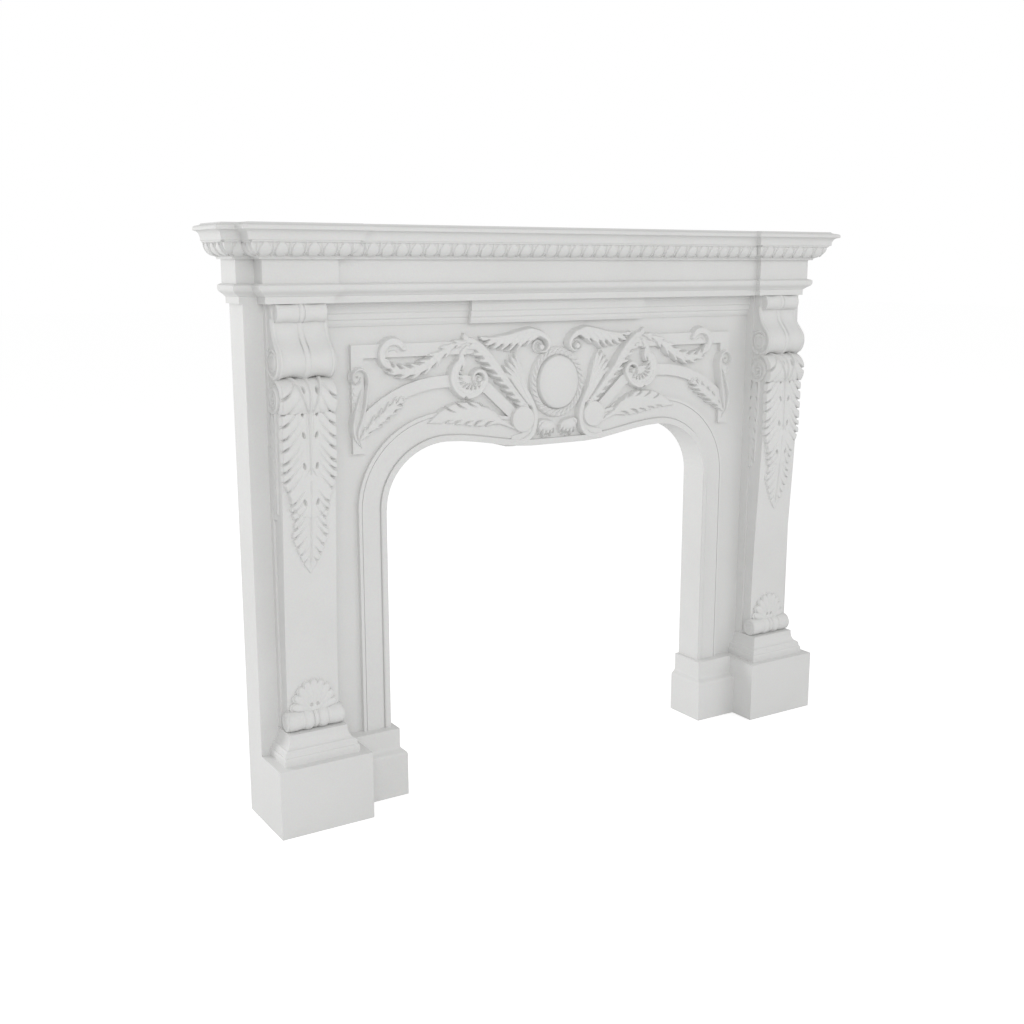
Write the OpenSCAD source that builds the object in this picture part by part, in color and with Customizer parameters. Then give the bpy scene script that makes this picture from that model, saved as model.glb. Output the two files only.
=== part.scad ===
// Carved arched fireplace mantel.
// X runs along the mantel, -Y faces the room, Z is up. The floor is z = 0 and the
// origin is at the middle of the footprint, so the wall plane is y = depth / 2.
// Most shapes are drawn with y = 0 on the wall plane and then moved there.

/* [Opening] */
// Clear width of the opening between the jambs
opening_w = 918; // [700:1:1300]
// Height of the opening at its middle
opening_h = 781; // [620:1:1000]
// Drop from the middle of the arch to the joint on the legs
spring_drop = 115; // [90:1:140]
// Width of the rounded corner of the arch
corner_w = 154; // [120:1:190]
// Rise of the arch from its middle to its shoulders
shoulder_rise = 27; // [0:1:40]
// Half width of the level middle of the arch
level_half = 140; // [60:1:180]

/* [Legs] */
// Width of each leg from the jamb to the outer face
leg_w = 313.5; // [280:0.5:400]
// Height of the arch panel above the middle of the opening
panel_h = 342; // [320:1:440]
// Projection of the outer strip of the leg
strip_depth = 79; // [60:1:88]
// Projection of the board behind the pilaster
board_depth = 92; // [85:1:110]
// Projection of the plain ground between jamb and board
ground_depth = 66; // [50:1:75]
// Margin of the board each side of the pilaster
board_margin = 5; // [2:1:12]

/* [Jamb moulding] */
// Width of the whole moulding round the opening
mould_w = 67.5; // [50:0.5:80]
// Width of the inner bead
bead_w = 14; // [8:1:20]
// Projection of the inner bead
bead_depth = 80; // [70:1:95]
// Projection of the flat band
band_depth = 75.5; // [68:0.5:90]
// Width of the groove beside the bead
groove_w = 2.5; // [1:0.5:5]
// Depth of the grooves in the flat band
groove_depth = 2; // [1:0.5:4]
// Width of the fillet at the outer edge
fillet_w = 8; // [3:0.5:12]

/* [Plinths] */
// Width of the block below the pilaster
block_w = 214.8; // [180:0.2:240]
// Projection of the block below the pilaster
block_depth = 186; // [170:1:230]
// Height of the block below the pilaster
block_h = 153; // [110:1:200]
// Reach of the inner plinth into the opening
toe = 23.3; // [10:0.1:40]
// Projection of the inner plinth
plinth_depth = 115.4; // [100:0.2:150]
// Height of the wide lower part of the inner plinth
plinth_low_h = 97; // [60:1:110]
// Height of the curved step of the inner plinth
plinth_step_h = 19; // [10:1:26]
// Height of the whole inner plinth
plinth_h = 157; // [145:1:180]
// Set-back of the upper part of the inner plinth
plinth_set = 11.5; // [6:0.5:18]
// Extra set-back at the front of the upper part
plinth_front_set = 17; // [8:1:20]

/* [Pilaster] */
// Width of the shaft
shaft_w = 119; // [90:1:140]
// Distance from the outer face of the leg to the middle of the pilaster
pilaster_inset = 106.5; // [95:0.5:120]
// Width of the moulded base at its foot
base_foot_w = 174; // [150:1:190]
// Projection of the moulded base at its foot
base_foot_depth = 167; // [150:1:180]
// Height of the moulded base
base_h = 61; // [40:1:80]
// Narrowing of the base on each side towards its top
base_taper = 20; // [10:1:28]
// Radius of the roll at the foot of the shaft
foot_roll_r = 22; // [16:1:28]
// Width of the roll at the foot of the shaft
foot_roll_w = 127; // [120:1:150]
// Projection of the shaft near its foot
shaft_low_depth = 120; // [110:1:130]
// Projection of the shaft near its head
shaft_high_depth = 140; // [130:1:150]
// Radius of the scroll at the head of the shaft
head_roll_r = 38; // [30:1:48]
// Height of the console above the shaft
console_h = 153; // [120:1:170]

/* [Console] */
// Width of the console at its belly
console_w = 121; // [100:1:140]
// Width of the roll at the top of the console
top_roll_w = 111; // [90:1:125]
// Radius of the roll at the top of the console
top_roll_r = 18; // [16:1:26]
// Radius of the lower scroll of the console
low_roll_r = 36; // [28:1:40]
// Projection of the console at its neck
neck_depth = 114; // [104:1:120]
// Depth of the two flutes on the console
flute_depth = 5; // [2:0.5:8]
// Width of the raised edge and half of the middle rib
rib_w = 8; // [5:0.5:12]

/* [Frieze] */
// Height of the bed moulding and the plain frieze together
frieze_h = 89; // [75:1:110]
// Overhang of the end blocks beyond the legs
end_overhang = 14.5; // [5:0.5:25]
// Projection of the frieze at the two ends
end_depth = 86; // [86:1:100]
// Projection of the frieze between the pilasters
mid_depth = 117; // [100:1:125]
// Projection of the frieze over the pilasters
bay_depth = 132; // [126:1:145]
// Width of the frieze over each pilaster
bay_w = 165; // [150:1:180]

/* [Shelf] */
// Height of the shelf moulding
shelf_h = 71; // [60:1:90]
// Overhang of the shelf beyond the frieze
shelf_overhang = 56; // [40:1:70]
// Spacing of the eggs in the egg-and-dart row
egg_pitch = 34.3; // [28:0.1:42]
// Radius of each egg
egg_r = 11; // [8:0.5:13]

/* [Arch panel] */
// Width of the raised frame of the panel
frame_w = 29; // [18:1:36]
// Projection of the raised frame
frame_depth = 76; // [70:1:80]
// Gap between the jamb moulding and the frame at the side
frame_gap = 9; // [5:1:20]
// Distance from the top of the panel to the top of the frame
frame_drop = 91; // [80:1:110]
// Height of the stepped moulding at the top of the panel
fascia_h = 51.5; // [40:0.5:60]
// Half width of the middle block of that moulding
fascia_mid_half = 244; // [180:1:280]
// Thickness of the carved leaves
leaf_t = 4; // [3:0.5:9]
// Thickness of the scrolls on the panel
scroll_t = 7; // [4:0.5:12]
// Radius of the disc boss where the arch bead ends
disc_r = 31; // [24:1:36]
// Half width of the oval boss
oval_half_w = 56; // [45:1:64]
// Half height of the oval boss
oval_half_h = 62.5; // [50:0.5:72]
// Height of the oval's middle above the middle of the arch
oval_up = 146.5; // [130:0.5:160]
// Width of the reed wreath round the oval
wreath_w = 18; // [12:1:22]

/* [Hidden] */

stone = "#d6d6d3";
eps = 0.01;

jamb_x = opening_w / 2;
outer_x = jamb_x + leg_w;
pilaster_x = outer_x - pilaster_inset;
board_half = shaft_w / 2 + board_margin;
panel_x = pilaster_x - board_half;
joint_z = opening_h - spring_drop;
leg_top = opening_h + panel_h;
shelf_z = leg_top + frieze_h;
total_h = shelf_z + shelf_h;
total_depth = bay_depth + shelf_overhang;
wall_y = total_depth / 2;
base_top = block_h + base_h;
console_z = leg_top - console_h;
arch_cx = jamb_x - corner_w;
shoulder_z = opening_h + shoulder_rise;
corner_h = shoulder_z - joint_z;

// ---------- helpers ----------

// Points of an elliptical arc about (cx, cy), from angle a0 to a1 in n steps.
function arc(cx, cy, rx, ry, a0, a1, n) =
    [for (i = [0:n]) let (a = a0 + (a1 - a0) * i / n) [cx + rx * cos(a), cy + ry * sin(a)]];

// Points of a cubic curve with end points p0, p3 and handles p1, p2.
function bezier(p0, p1, p2, p3, n) =
    [for (i = [0:n]) let (t = i / n, s = 1 - t)
        s * s * s * p0 + 3 * s * s * t * p1 + 3 * s * t * t * p2 + t * t * t * p3];

// Smooth step from 0 at t <= 0 to 1 at t >= 1.
function ease(t) = let (c = min(1, max(0, t))) c * c * (3 - 2 * c);

// Extrudes an outline of (y, z) points along X, between x0 and x1.
module along_x(outline, x0, x1) {
    translate([x0, 0, 0]) rotate([90, 0, 90]) linear_extrude(x1 - x0) polygon(outline);
}

// Extrudes an outline of (x, z) points from the projection d0 to the projection d1.
module toward_room(outline, d0, d1) {
    translate([0, -d0, 0]) rotate([90, 0, 0]) linear_extrude(d1 - d0) polygon(outline);
}

// Places children in the mantel's own frame, on the left (-1) or right (1) side.
module on_side(side) {
    translate([0, wall_y, 0]) mirror([side < 0 ? 1 : 0, 0, 0]) children();
}

// A block of stone from x0 to x1, wall to projection d, z0 to z1.
module block(x0, x1, d, z0, z1) {
    translate([x0, -d, z0]) cube([x1 - x0, d, z1 - z0]);
}

// A moulded block with mitred returns: outline holds (offset, z) pairs, bottom to top,
// where offset is the projection beyond the faces at x0, x1 and d.
module mitred(outline, x0, x1, d) {
    n = len(outline) - 1;
    both = concat(
        [for (i = [0:n]) [x1 + outline[i][0], outline[i][1]]],
        [for (i = [n:-1:0]) [x0 - outline[i][0], outline[i][1]]]);
    front = concat(
        [[0, outline[0][1]]],
        [for (i = [0:n]) [-d - outline[i][0], outline[i][1]]],
        [[0, outline[n][1]]]);
    far = shelf_overhang + block_depth;
    intersection() {
        toward_room(both, 0, d + far);
        along_x(front, x0 - far, x1 + far);
    }
}

// ---------- outlines ----------

// Height of the arch edge, moved outward by g, at distance x from the middle.
function arch_z(x, g) = x < arch_cx
    ? opening_h + g + shoulder_rise * ease((x - level_half * 0.5) / (arch_cx - level_half * 0.5))
    : joint_z + (corner_h + g) * sqrt(max(0, 1 - pow((x - arch_cx) / (corner_w + g), 2)));

// Right half of the arch edge moved outward by g, from the joint to the middle.
function arch_half(g) = concat(
    arc(arch_cx, joint_z, corner_w + g, corner_h + g, 0, 90, 14),
    [for (i = [7:-1:0]) let (x = arch_cx * i / 8) [x, arch_z(x, g)]]);

// The same edge from the right joint over the arch to the left joint.
function arch_edge(g) = let (h = arch_half(g), n = len(h) - 1)
    concat(h, [for (i = [n - 1:-1:0]) [-h[i][0], h[i][1]]]);

// A band that follows the arch, between the offsets g0 and g1.
function arch_band(g0, g1) = let (a = arch_edge(g0), b = arch_edge(g1), n = len(b) - 1)
    concat(a, [for (i = [n:-1:0]) b[i]]);

// Outline of a pointed leaf along +X: length l, half width w, with notched lobes.
function leaf(l, w, lobes, notch) = let (n = lobes * 4)
    concat(
        [for (i = [0:n]) let (t = i / n) [l * t, leaf_edge(t, w, lobes, notch)]],
        [for (i = [n - 1:-1:1]) let (t = i / n) [l * t, -leaf_edge(t, w, lobes, notch)]]);
function leaf_edge(t, w, lobes, notch) =
    w * pow(sin(180 * pow(t, 0.75)), 0.7) * (1 - notch * pow(abs(cos(180 * lobes * t)), 3));

// ---------- legs ----------

bead_edge = 2;
quirk_w = 1.5;
groove_floor = band_depth - groove_depth;
quirk_x = mould_w - fillet_w - quirk_w;

// Plan of the moulding beside the opening: (distance from the jamb, projection).
jamb_outline = [
    [0, 0], [0, bead_depth - bead_edge], [bead_edge, bead_depth], [bead_w - bead_edge, bead_depth],
    [bead_w, bead_depth - bead_edge], [bead_w, groove_floor], [bead_w + groove_w, groove_floor],
    [bead_w + groove_w, band_depth], [quirk_x, band_depth], [quirk_x, groove_floor],
    [quirk_x + quirk_w, groove_floor], [quirk_x + quirk_w, band_depth], [mould_w - 1, band_depth],
    [mould_w, ground_depth], [mould_w, 0]
];

// Offset and height of the inner plinth, from the floor up.
plinth_curve = concat(
    [[plinth_set, 0], [plinth_set, plinth_low_h]],
    bezier([plinth_set, plinth_low_h], [plinth_set, plinth_low_h + plinth_step_h * 0.6],
           [0, plinth_low_h + plinth_step_h * 0.4], [0, plinth_low_h + plinth_step_h], 8),
    [[0, plinth_h]]);

module inner_plinth() {
    x0 = jamb_x - toe + plinth_set;
    d = plinth_depth - plinth_front_set;
    side = concat(
        [for (p = plinth_curve) [x0 - p[0], p[1]]],
        [[outer_x - block_w + eps, plinth_h], [outer_x - block_w + eps, 0]]);
    front = concat(
        [[0, 0]],
        [for (p = plinth_curve) [-d - p[0] * plinth_front_set / plinth_set, p[1]]],
        [[0, plinth_h]]);
    intersection() {
        toward_room(side, 0, plinth_depth + 1);
        along_x(front, jamb_x - toe - 1, outer_x);
    }
}

module leg(side) {
    color(stone) on_side(side) {
        block(outer_x - block_w, outer_x, block_depth, 0, block_h);
        inner_plinth();
        block(pilaster_x - board_half, outer_x, strip_depth, 0, leg_top);
        block(pilaster_x - board_half, pilaster_x + board_half, board_depth, 0, leg_top);
        block(jamb_x + mould_w - eps, panel_x + eps, ground_depth, 0, joint_z);
        translate([jamb_x, 0, 0]) mirror([0, 1, 0])
            linear_extrude(joint_z) polygon(jamb_outline);
    }
}

// ---------- arch panel ----------

// Stepped moulding at the top of the panel: (projection, share of its height from the top).
fascia_steps = [[14, 0], [14, 0.12], [12, 0.17], [12, 0.43], [9, 0.5], [9, 0.7], [6, 0.76],
                [6, 0.87], [3, 1]];
fascia_mid_out = 13;
function fascia(d) = concat(
    [[0, leg_top]],
    [for (p = fascia_steps) [-d - p[0], leg_top - p[1] * fascia_h]],
    [[0, leg_top - fascia_h]]);

// The bead runs right across; the flat band stops at the two discs.
module arch_mouldings() {
    toward_room(arch_band(0, bead_w), ground_depth - eps, bead_depth);
    difference() {
        union() {
            toward_room(arch_band(bead_w - eps, mould_w), ground_depth - eps, groove_floor);
            toward_room(arch_band(bead_w + groove_w, quirk_x), ground_depth - eps, band_depth);
            toward_room(arch_band(quirk_x + quirk_w, mould_w), ground_depth - eps, band_depth);
        }
        translate([-disc_x, -bead_depth - 1, opening_h + bead_w])
            cube([2 * disc_x, bead_depth + 1 - ground_depth, mould_w + shoulder_rise]);
    }
}

// One half of the raised frame: side bar, top bar and the bar that follows the arch.
// Its bounds: foot above the joint, inner ends of the two bars, gap above the moulding.
frame_foot = 130;
frame_top_in = 230;
arched_bar_in = 290;
arched_bar_gap = 55;

module panel_frame() {
    x1 = jamb_x + mould_w + frame_gap;
    x0 = x1 - frame_w;
    z1 = leg_top - frame_drop;
    z0 = joint_z + frame_foot;
    inner = mould_w + arched_bar_gap;
    toward_room([[x0, z0], [x1, z0], [x1, z1], [frame_top_in, z1],
                 [frame_top_in, z1 - frame_w], [x0, z1 - frame_w]],
                ground_depth - eps, frame_depth);
    intersection() {
        toward_room(arch_band(inner, inner + frame_w - 2), ground_depth - eps, frame_depth);
        block(arched_bar_in, x1, frame_depth, joint_z, leg_top);
    }
}

// A flat carved leaf that starts at (x, z) and points along angle a.
module panel_leaf(x, z, a, l, w, lobes) {
    translate([x, -ground_depth + eps, z]) rotate([90, 0, 0]) rotate([0, 0, a])
        linear_extrude(leaf_t) polygon(leaf(l, w, lobes, 0.32));
}

// An open ring of stone about (x, z) with outer radius r, from angle a0 to a1.
module scroll(x, z, r, width, a0, a1) {
    toward_room(concat(arc(x, z, r, r, a0, a1, 28), arc(x, z, r - width, r - width, a1, a0, 28)),
                ground_depth - eps, ground_depth + scroll_t);
}

// A round boss about (x, z) with radius r and height t.
module boss(x, z, r, t) {
    translate([x, -ground_depth + eps, z]) rotate([90, 0, 0]) cylinder(h = t, r = r, $fn = 72);
}

// Carved leaves: start x, start height above the arch, angle, length, half width, lobes.
panel_leaves = [
    [300, 231, -22, 110, 9, 5],
    [100, 99, 48, 200, 13, 8],
    [160, 76, 4, 160, 17, 6],
    [jamb_x + 54, 56, 146, 92, 11, 5],
    [52, 259, -4, 140, 9, 6]
];
// Scrolls: x, height above the arch, outer radius, width of the ring, first and last angle.
panel_scrolls = [
    [437, 228, 35, 12, -115, 148],
    [246, 170, 47, 12, -180, 76],
    [jamb_x + 67, 183, 16, 6, -170, 180]
];
// Small bosses: x, height above the arch, radius.
panel_bosses = [[219, 161, 12], [55, 232, 15]];
// Outline of the stem beside the frame, from its foot: offset from the jamb, height above the arch.
stem_outline = [[55, 30], [64, 36], [74, 54], [77, 78], [72, 113], [64, 160], [42, 172], [42, 149],
                [48, 113], [52, 85], [56, 58]];
// Bar that carries the frame's arched bar down to the disc: x, height above the arch.
low_bar = [[290, 177], [250, 174], [215, 166], [189, 153], [115, 87], [135, 70], [203, 131],
           [222, 139], [250, 146], [290, 148]];
// Middle of the disc boss: x, height above the arch.
disc_x = 102;
disc_up = 65;

module panel_carving() {
    for (p = panel_leaves) panel_leaf(p[0], opening_h + p[1], p[2], p[3], p[4], p[5]);
    for (p = panel_scrolls) scroll(p[0], opening_h + p[1], p[2], p[3], p[4], p[5]);
    for (p = panel_bosses) boss(p[0], opening_h + p[1], p[2], scroll_t);
    toward_room([for (p = stem_outline) [jamb_x + p[0], opening_h + p[1]]],
                ground_depth - eps, ground_depth + leaf_t);
    toward_room([for (p = low_bar) [p[0], opening_h + p[1]]], ground_depth - eps, frame_depth);
    boss(disc_x, opening_h + disc_up, disc_r, 2 * scroll_t);
    scroll(disc_x, opening_h + disc_up, disc_r + bead_w, bead_w - 2, 150, 268);
}

// The oval boss stands in a groove inside the wreath; both are ovals about one middle.
// Steps of the boss: set-back from its edge, height above the ground.
oval_steps = [[1, 12], [9, 17], [22, 21]];
wreath_gap = 5;

module oval(grow, d0, d1) {
    toward_room(arc(0, opening_h + oval_up, oval_half_w + grow, oval_half_h + grow, 0, 354, 59), d0, d1);
}

module arch_panel() {
    body = concat(arch_edge(0), [[-panel_x, joint_z], [-panel_x, leg_top],
                                 [panel_x, leg_top], [panel_x, joint_z]]);
    color(stone) translate([0, wall_y, 0]) {
        toward_room(body, 0, ground_depth);
        arch_mouldings();
        along_x(fascia(ground_depth), -panel_x, panel_x);
        along_x(fascia(ground_depth + fascia_mid_out), -fascia_mid_half, fascia_mid_half);
        for (side = [0, 1]) mirror([side, 0, 0]) {
            panel_frame();
            panel_carving();
        }
        difference() {
            oval(wreath_w, ground_depth - eps, ground_depth + wreath_w / 2);
            oval(wreath_gap, ground_depth + eps, ground_depth + wreath_w);
        }
        for (p = oval_steps) oval(-p[0], ground_depth - eps, ground_depth + p[1]);
    }
}

// ---------- pilasters ----------

// Moulded base: a low foot, a short sloping step and a long hollow up to the neck.
base_curve = concat(
    [[base_taper, 0], [base_taper, base_h * 0.2], [base_taper - 1.4, base_h * 0.29],
     [base_taper - 3.4, base_h * 0.3], [base_taper - 4.6, base_h * 0.45]],
    arc(base_taper - 8, base_h * 0.95, base_taper - 8, base_h * 0.43, 270, 180, 8),
    [[0, base_h]]);

module pilaster_base(side) {
    half = base_foot_w / 2 - base_taper;
    d = base_foot_depth - base_taper;
    outline = [for (p = base_curve) [p[0], p[1] + block_h]];
    color(stone) on_side(side) difference() {
        mitred(outline, pilaster_x - half, pilaster_x + half, d);
        block(pilaster_x - board_half, pilaster_x + board_half, board_depth, 0, leg_top);
        block(0, pilaster_x, ground_depth, 0, leg_top);
        block(pilaster_x, outer_x, strip_depth, 0, leg_top);
    }
}

// Projection of the shaft at height z.
function shaft_depth(z) = shaft_low_depth
    + (shaft_high_depth - shaft_low_depth) * ease((z - base_top - 86) / (console_z - base_top - 190));

module pilaster_prism(grow, half) {
    z0 = base_top + foot_roll_r;
    z1 = console_z - head_roll_r;
    steps = 24;
    along_x(concat(
        [[-board_depth, z0]],
        [for (i = [0:steps]) let (z = z0 + (z1 - z0) * i / steps) [-shaft_depth(z) - grow, z]],
        [[-board_depth, z1]]), pilaster_x - half, pilaster_x + half);
}

// A cylinder across the pilaster with its axis at projection d and height z.
module cross_roll(d, z, r, w) {
    translate([pilaster_x - w / 2, -d, z]) rotate([0, 90, 0]) cylinder(h = w, r = r, $fn = 96);
}

module pilaster(side) {
    head_z = console_z - head_roll_r;
    head_d = board_depth + 20;
    foot_z = base_top + foot_roll_r;
    leaf_top = console_z - 22;
    leaf_len = leaf_top - joint_z + 54;
    color(stone) on_side(side) difference() {
        pilaster_solids(head_d, head_z, foot_z, leaf_top, leaf_len);
        behind_board();
    }
}

module pilaster_solids(head_d, head_z, foot_z, leaf_top, leaf_len) {
    pilaster_prism(0, shaft_w / 2);
    // scroll over which the leaf turns
    cross_roll(head_d, head_z, head_roll_r, shaft_w);
    block_from_board(head_z, console_z, head_d);
    // carved leaf lying on the shaft
    intersection() {
        pilaster_prism(leaf_t, shaft_w / 2);
        translate([pilaster_x, 0, leaf_top]) rotate([90, 0, 0]) rotate([0, 0, -90])
            linear_extrude(total_depth) polygon(leaf(leaf_len, shaft_w / 2 - 4, 9, 0.2));
    }
    // roll at the foot with two round beads and a ring
    block_from_board(base_top, foot_z, shaft_low_depth - 2);
    cross_roll(shaft_low_depth, foot_z, foot_roll_r - 3, foot_roll_w);
    for (s = [-1, 1]) translate([s * (foot_roll_w / 2 - 18), 0, 0])
        cross_roll(shaft_low_depth, foot_z, foot_roll_r, 36);
    cross_roll(shaft_low_depth, foot_z, foot_roll_r - 1, 10);
    // shell above the foot roll
    shell();
}

// The space taken by the leg and its board behind a pilaster or console.
module behind_board() {
    block(pilaster_x - block_w, pilaster_x + block_w, board_depth, 0, leg_top + 1);
}

// Stone between the board and projection d, over the width of the shaft.
module block_from_board(z0, z1, d) {
    translate([pilaster_x - shaft_w / 2, -d, z0]) cube([shaft_w, d - board_depth, z1 - z0]);
}

module shell() {
    lobes = 9;
    foot_z = base_top + foot_roll_r;
    for (i = [0:lobes - 1]) {
        a = 12 + (180 - 24) * i / (lobes - 1);
        translate([pilaster_x + 20 * cos(a), -shaft_low_depth + 6, foot_z + 24 + 26 * sin(a)])
            rotate([90, 0, 0]) translate([28 * cos(a), 34 * sin(a) - 6, 0])
                cylinder(h = leaf_t + 7, r = 9, $fn = 32);
    }
    translate([pilaster_x, -shaft_low_depth + 6, foot_z + 14]) rotate([90, 0, 0])
        linear_extrude(leaf_t + 6) polygon(arc(0, 0, 50, 68, 0, 180, 24));
}

// ---------- consoles ----------

// Side outline of the console, from its foot on the pilaster up to the frieze.
function console_outline(inset) = let (
        low_d = board_depth + 25, low_z = console_z + low_roll_r, top_d = board_depth + 20,
        neck_z = leg_top - 2 * top_roll_r + 4)
    concat(
        [[-board_depth, console_z], [-low_d, console_z]],
        arc(-low_d, low_z, low_roll_r - inset, low_roll_r - inset, 270, 180, 10),
        bezier([-low_d - low_roll_r + inset, low_z + 2], [-low_d - low_roll_r + inset, low_z + 32],
               [-neck_depth - 1 + inset, low_z + 34], [-neck_depth + inset, neck_z], 12),
        [[-top_d, leg_top - top_roll_r], [-top_d, leg_top], [-board_depth, leg_top]]);

module console(side) {
    top_d = board_depth + 20;
    x0 = pilaster_x - console_w / 2;
    x1 = pilaster_x + console_w / 2;
    color(stone) on_side(side) {
        along_x(console_outline(flute_depth), x0, x1);
        along_x(console_outline(0), x0, x0 + rib_w);
        along_x(console_outline(0), x1 - rib_w, x1);
        along_x(console_outline(0), pilaster_x - rib_w, pilaster_x + rib_w);
        difference() {
            cross_roll(top_d, leg_top - top_roll_r, top_roll_r, top_roll_w);
            behind_board();
        }
    }
}

// ---------- frieze and shelf ----------

// Bed moulding: (offset from the frieze, height above the legs).
bed_curve = concat(
    [[-7, 0], [-7, 14], [-4, 16]],
    bezier([-4, 16], [0, 22], [10, 22], [10, 32], 8),
    [[10, 37], [6, 39.5], [0, 41], [0, frieze_h]]);

// Lays one moulding along the whole front: two ends, the middle and two bays. The middle
// run carries on behind the bays.
module along_front(outline) {
    mitred(outline, -outer_x - end_overhang, outer_x + end_overhang, end_depth);
    middle = concat([[0, outline[0][1]]], [for (p = outline) [-mid_depth - p[0], p[1]]],
                    [[0, outline[len(outline) - 1][1]]]);
    along_x(middle, -pilaster_x, pilaster_x);
    for (s = [-1, 1])
        mitred(outline, s * pilaster_x - bay_w / 2, s * pilaster_x + bay_w / 2, bay_depth);
}

module frieze() {
    outline = [for (p = bed_curve) [p[0], p[1] + leg_top]];
    color(stone) translate([0, wall_y, 0]) along_front(outline);
}

// Shelf moulding: neck, egg band, hollow, flat nose (offset from the frieze, height).
shelf_curve = let (o = shelf_overhang, h = shelf_h) concat(
    [[9, 0], [9, 4], [13, 6], [13, 9]],
    arc(13, 33, 20, 24, 270, 360, 8),
    [[33, 35], [o - 15, 37], [o - 15, 40]],
    arc(o - 4, 40, 11, 16, 180, 90, 8),
    [[o, h - 14], [o, h - 9]],
    bezier([o, h - 9], [o, h - 3], [o - 15, h - 6], [o - 17, h - 1], 6),
    [[o - 17, h]]);

egg_z = shelf_z + 22;
egg_out = 20;

// A row of eggs along X on the face at projection d, between x0 and x1.
module egg_row(x0, x1, d) {
    n = max(1, round((x1 - x0) / egg_pitch));
    for (i = [0:n - 1])
        translate([x0 + (x1 - x0) * (i + 0.5) / n, -d - egg_out, egg_z]) sphere(r = egg_r, $fn = 32);
}

// The same row on a face that looks along +X, between projections d0 and d1.
module egg_return(x, d0, d1) {
    n = max(1, round((d1 - d0) / egg_pitch));
    for (i = [0:n - 1])
        translate([x + egg_out, -d0 - (d1 - d0) * (i + 0.5) / n, egg_z]) sphere(r = egg_r, $fn = 32);
}

module shelf() {
    outline = [for (p = shelf_curve) [p[0], p[1] + shelf_z]];
    bay_in = pilaster_x - bay_w / 2;
    bay_out = pilaster_x + bay_w / 2;
    end_x = outer_x + end_overhang;
    color(stone) translate([0, wall_y, 0]) {
        along_front(outline);
        egg_row(-bay_in + egg_out, bay_in - egg_out, mid_depth);
        for (s = [0, 1]) mirror([s, 0, 0]) {
            egg_row(bay_in - egg_out, bay_out + egg_out, bay_depth);
            egg_return(end_x, 0, end_depth + egg_out);
            egg_return(bay_out, end_depth + egg_out, bay_depth + egg_out);
        }
    }
}

leg(-1);  // left_leg
leg(1);  // right_leg
arch_panel();
pilaster_base(-1);  // left_pilaster_base
pilaster_base(1);  // right_pilaster_base
pilaster(-1);  // left_pilaster
pilaster(1);  // right_pilaster
console(-1);  // left_console
console(1);  // right_console
frieze();
shelf();
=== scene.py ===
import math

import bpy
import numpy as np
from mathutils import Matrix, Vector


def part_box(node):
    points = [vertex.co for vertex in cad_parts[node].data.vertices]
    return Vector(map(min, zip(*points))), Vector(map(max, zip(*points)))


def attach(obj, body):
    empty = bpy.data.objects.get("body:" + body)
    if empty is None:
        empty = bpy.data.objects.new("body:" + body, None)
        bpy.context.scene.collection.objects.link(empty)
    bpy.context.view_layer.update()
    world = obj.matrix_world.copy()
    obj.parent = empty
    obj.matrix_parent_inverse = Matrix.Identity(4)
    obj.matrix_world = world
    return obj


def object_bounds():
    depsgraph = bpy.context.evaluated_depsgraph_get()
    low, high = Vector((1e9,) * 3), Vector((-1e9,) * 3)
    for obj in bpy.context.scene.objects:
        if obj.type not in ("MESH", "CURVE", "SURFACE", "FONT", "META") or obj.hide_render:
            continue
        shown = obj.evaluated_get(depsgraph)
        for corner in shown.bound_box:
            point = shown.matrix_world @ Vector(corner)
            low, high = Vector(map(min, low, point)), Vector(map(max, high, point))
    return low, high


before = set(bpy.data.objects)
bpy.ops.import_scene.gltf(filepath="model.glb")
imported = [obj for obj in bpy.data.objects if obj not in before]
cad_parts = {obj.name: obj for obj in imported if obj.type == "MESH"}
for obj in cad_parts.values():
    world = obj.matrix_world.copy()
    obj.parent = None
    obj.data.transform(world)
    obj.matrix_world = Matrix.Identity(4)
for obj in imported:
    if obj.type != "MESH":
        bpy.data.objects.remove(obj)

# The looks of a carved, arched stone fireplace mantel. Lengths are in millimetres in the
# shape code, measured like the construction: X along the mantel, D out from the wall,
# Z up from the floor. to_scene() turns them into the frame's metres.

CAD_LOW, CAD_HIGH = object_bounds()
MM = 0.001
WALL_Y = CAD_HIGH[1]


# ---------------------------------------------------------------- sizes from the frame

def edge(node, side, axis):
    """A node's lowest (side 0) or highest (side 1) coordinate on an axis, in mm."""
    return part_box(node)[side][axis] / MM


LEG_TOP = edge("right_leg", 1, 2)
PILASTER_X = (edge("right_pilaster", 0, 0) + edge("right_pilaster", 1, 0)) / 2
BASE_TOP = edge("right_pilaster_base", 1, 2)
CONSOLE_Z = edge("right_console", 0, 2)


def to_scene(points):
    """(x, d, z) in mm, with d measured from the wall, to metres in the frame."""
    out = np.empty(np.shape(points))
    out[..., 0] = points[..., 0] * MM
    out[..., 1] = WALL_Y - points[..., 1] * MM
    out[..., 2] = points[..., 2] * MM
    return out


# ---------------------------------------------------------------- materials

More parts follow.
